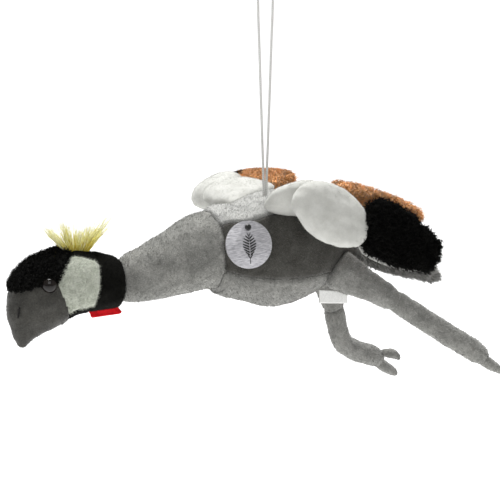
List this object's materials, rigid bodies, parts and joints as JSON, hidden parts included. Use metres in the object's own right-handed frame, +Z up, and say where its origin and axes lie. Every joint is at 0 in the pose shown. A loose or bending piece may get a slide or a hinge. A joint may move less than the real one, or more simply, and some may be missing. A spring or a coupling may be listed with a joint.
{
  "type": "hanging plush crane",
  "caption": "Stuffed plush crane in flight with a fibre crest, bendable neck, wings and legs, hung by its back from a doubled white cord.",
  "frame": {"origin": "inside top of the hanging cord loop, where a hook carries it", "axes": "+X from the head towards the feet, +Z up, the left wing on the -Y side"},
  "size_m": [0.4259, 0.2404, 0.3604],
  "materials": {
    "cord": "round braided elastic cord",
    "stuffing": "loose polyester fibre",
    "grey_plush": "short-pile velour, slightly mottled",
    "black_plush": "short smooth pile",
    "black_fur": "long curly pile",
    "white_plush": "short smooth pile",
    "brown_fur": "long curly pile",
    "crest_fibre": "fine loose fibre, paler at the tips",
    "red_felt": "pressed felt",
    "label_satin": "smooth woven tape",
    "eye_plastic": "polished",
    "washer_plastic": "moulded",
    "badge_face": "glossy clear film over a metallic print",
    "badge_tin": "tinplate",
    "stitch_thread": "twisted thread"
  },
  "bodies": {
    "hanger": {"hang_cord": "cord", "cord_knot": "cord"},
    "torso": {"body_fill": "stuffing", "back_panel": "grey_plush", "left_side_panel": "grey_plush", "right_side_panel": "grey_plush", "belly_panel": "grey_plush", "care_label": "label_satin", "badge_rivet": "eye_plastic"},
    "badge": {"badge_shell": "badge_face", "badge_back": "badge_tin"},
    "tail": {"tail_cover": "grey_plush", "tail_fill": "stuffing"},
    "neck": {"neck_cover": "grey_plush", "neck_fill": "stuffing"},
    "head": {"head_fill": "stuffing", "beak_cover": "grey_plush", "forehead_cap": "black_fur", "crown_strip": "black_plush", "left_cheek": "white_plush", "right_cheek": "white_plush", "chin_strap": "black_plush", "crown_band": "black_plush", "left_eye": "eye_plastic", "right_eye": "eye_plastic", "left_eye_washer": "washer_plastic", "right_eye_washer": "washer_plastic", "nostril_stitches": "stitch_thread", "crest_tuft": "crest_fibre", "wattle": "red_felt"},
    "left_wing": {"left_shoulder_cover": "white_plush", "left_shoulder_fill": "stuffing", "left_secondaries": "brown_fur"},
    "left_wingtip": {"left_coverts_cover": "white_plush", "left_coverts_fill": "stuffing", "left_primaries": "black_fur", "left_lining": "grey_plush"},
    "left_thigh": {"left_thigh_cover": "grey_plush", "left_thigh_fill": "stuffing"},
    "left_shin": {"left_shin_cover": "grey_plush", "left_shin_fill": "stuffing", "left_toes": "grey_plush"},
    "right_wing": {"right_shoulder_cover": "white_plush", "right_shoulder_fill": "stuffing", "right_secondaries": "brown_fur"},
    "right_wingtip": {"right_coverts_cover": "white_plush", "right_coverts_fill": "stuffing", "right_primaries": "black_fur", "right_lining": "grey_plush"},
    "right_thigh": {"right_thigh_cover": "grey_plush", "right_thigh_fill": "stuffing"},
    "right_shin": {"right_shin_cover": "grey_plush", "right_shin_fill": "stuffing", "right_toes": "grey_plush"}
  },
  "joints": [
    {"name": "cord_swivel", "type": "hinge", "parent": "hanger", "child": "torso", "pos_m": [0, 0, -0.162], "axis": [0, 0, 1], "range_deg": [-180, 180]},
    {"name": "neck_bend", "type": "hinge", "parent": "torso", "child": "neck", "pos_m": [-0.047, 0, -0.206], "axis": [0, 1, 0], "range_deg": [-12, 12], "stiffness_Nm_per_rad": 0.6},
    {"name": "head_nod", "type": "hinge", "parent": "neck", "child": "head", "pos_m": [-0.125, 0, -0.223], "axis": [0, 1, 0], "range_deg": [-12, 12], "stiffness_Nm_per_rad": 0.3},
    {"name": "tail_lift", "type": "hinge", "parent": "torso", "child": "tail", "pos_m": [0.091, 0, -0.227], "axis": [0, 1, 0], "range_deg": [-20, 20], "stiffness_Nm_per_rad": 0.08},
    {"name": "badge_swing", "type": "hinge", "parent": "torso", "child": "badge", "pos_m": [-0.03053, -0.03304, -0.18204], "axis": [-0.1203, -0.9522, 0.2807], "range_deg": [-25, 25]},
    {"name": "left_wing_flap", "type": "hinge", "parent": "torso", "child": "left_wing", "pos_m": [0.015, -0.026, -0.171], "axis": [-1, 0, 0], "range_deg": [-4, 40], "stiffness_Nm_per_rad": 0.25},
    {"name": "right_wing_flap", "type": "hinge", "parent": "torso", "child": "right_wing", "pos_m": [0.015, 0.026, -0.171], "axis": [1, 0, 0], "range_deg": [-15, 40], "stiffness_Nm_per_rad": 0.6},
    {"name": "left_wing_fold", "type": "hinge", "parent": "left_wing", "child": "left_wingtip", "pos_m": [0.007, -0.057, -0.157], "axis": [-0.4996, -0.2498, -0.8294], "range_deg": [-2, 50], "stiffness_Nm_per_rad": 0.1},
    {"name": "right_wing_fold", "type": "hinge", "parent": "right_wing", "child": "right_wingtip", "pos_m": [-0.017, 0.06, -0.174], "axis": [-0.834, 0.3208, -0.4491], "range_deg": [-30, 0], "stiffness_Nm_per_rad": 0.3},
    {"name": "left_hip", "type": "hinge", "parent": "torso", "child": "left_thigh", "pos_m": [0.064, -0.029, -0.234], "axis": [0, 1, 0], "range_deg": [-18, 24], "stiffness_Nm_per_rad": 0.3},
    {"name": "right_hip", "type": "hinge", "parent": "torso", "child": "right_thigh", "pos_m": [0.066, 0.028, -0.236], "axis": [0, 1, 0], "range_deg": [-45, 20], "stiffness_Nm_per_rad": 0.1},
    {"name": "left_knee", "type": "hinge", "parent": "left_thigh", "child": "left_shin", "pos_m": [0.1, -0.034, -0.2565], "axis": [0, 1, 0], "range_deg": [-35, 35], "stiffness_Nm_per_rad": 0.15},
    {"name": "right_knee", "type": "hinge", "parent": "right_thigh", "child": "right_shin", "pos_m": [0.077, 0.028, -0.2775], "axis": [0, 1, 0], "range_deg": [-35, 35], "stiffness_Nm_per_rad": 0.1}
  ]
}
